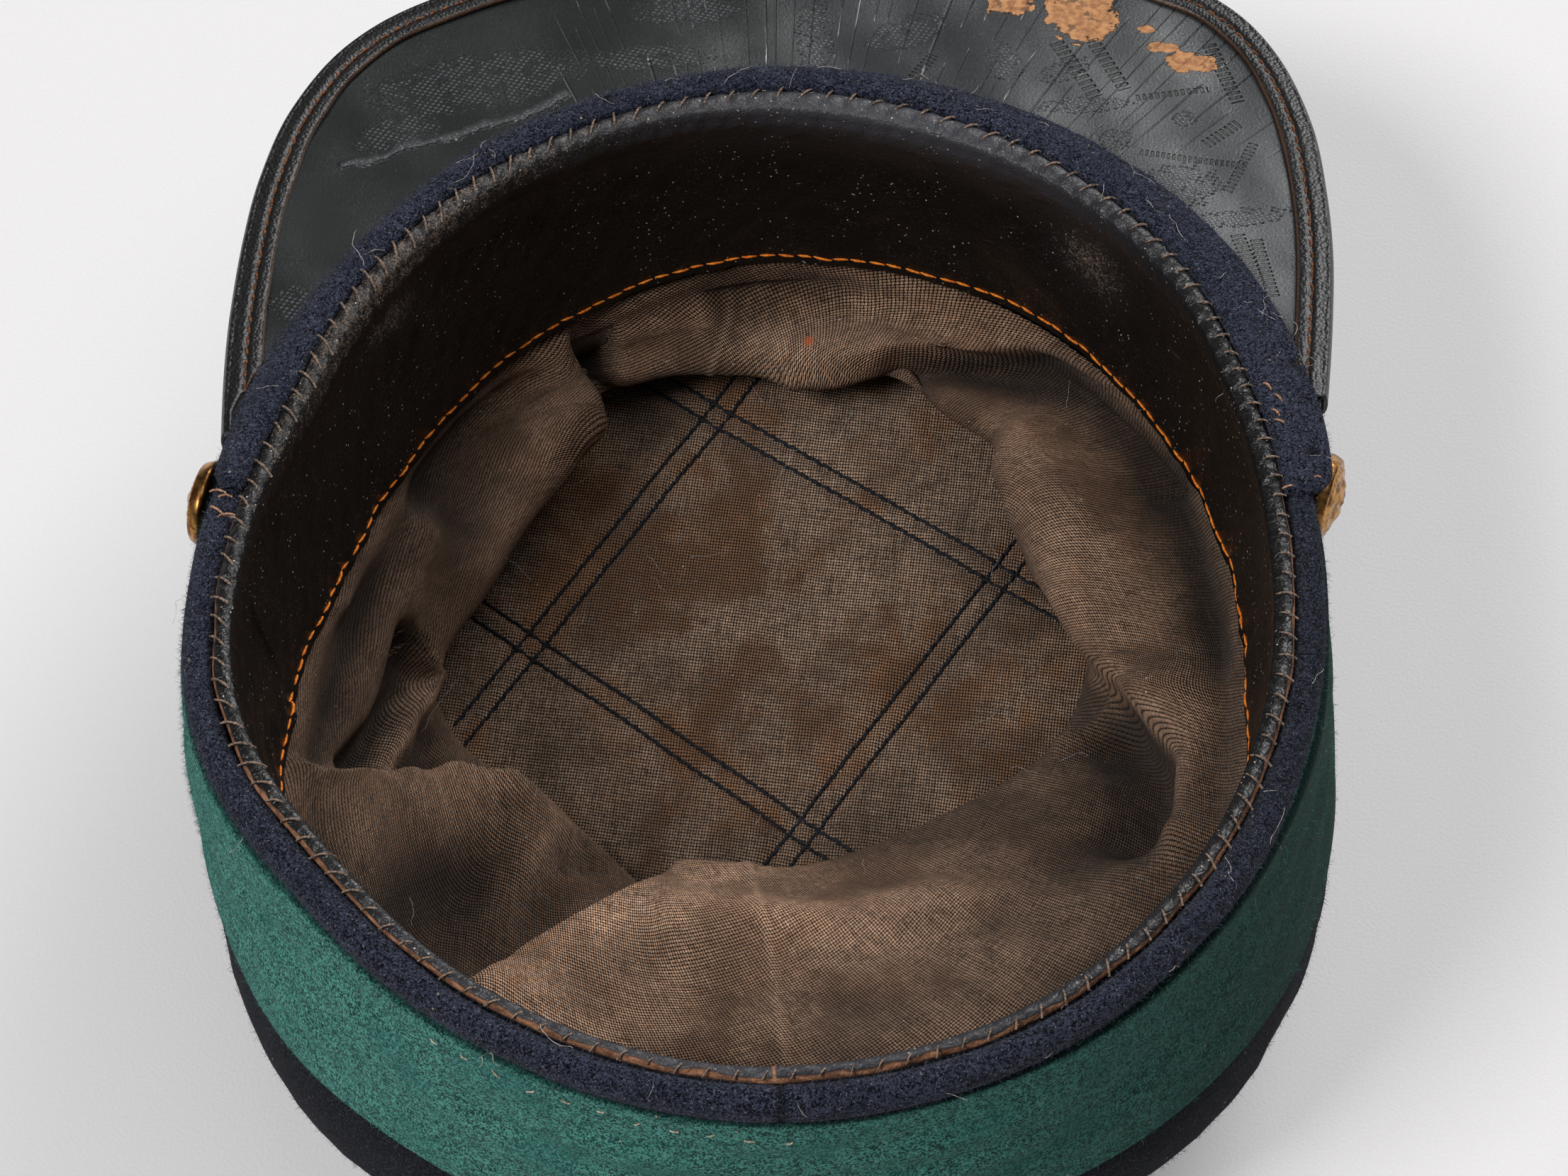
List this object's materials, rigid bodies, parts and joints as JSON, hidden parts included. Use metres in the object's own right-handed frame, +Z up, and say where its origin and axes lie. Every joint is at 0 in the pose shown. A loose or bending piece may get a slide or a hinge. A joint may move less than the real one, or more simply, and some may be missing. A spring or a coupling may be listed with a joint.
{
  "type": "kepi",
  "caption": "Soft wool kepi lying upside down on its flat top: leather peak with bound edge, coloured band, leather sweatband, loose cotton lining and side buttons.",
  "frame": {"origin": "centre of the flat top's outer face, which the hat rests on", "axes": "+Z up, out of the head opening of the upturned hat; +Y to the back of the hat; the peak points to -Y"},
  "size_m": [0.185, 0.2449, 0.1076],
  "materials": {
    "navy_wool": "fulled wool, matt and fuzzy",
    "green_wool": "fulled wool, matt and fuzzy",
    "cotton": "plain open weave, matt",
    "sweat_leather": "worn smooth black leather, half gloss",
    "binding_leather": "pebble grain, half gloss",
    "peak_leather": "crazed lacquer over leather, half gloss",
    "brass": "aged, half bright"
  },
  "bodies": {
    "root": {"crown_tip": "navy_wool", "crown_side": "navy_wool", "tip_lining": "cotton", "lining_side": "cotton", "base_band": "navy_wool", "colour_band": "green_wool", "sweatband": "sweat_leather", "peak": "peak_leather", "peak_binding": "binding_leather", "peak_facing": "navy_wool", "button_left": "brass", "button_right": "brass"}
  },
  "joints": []
}
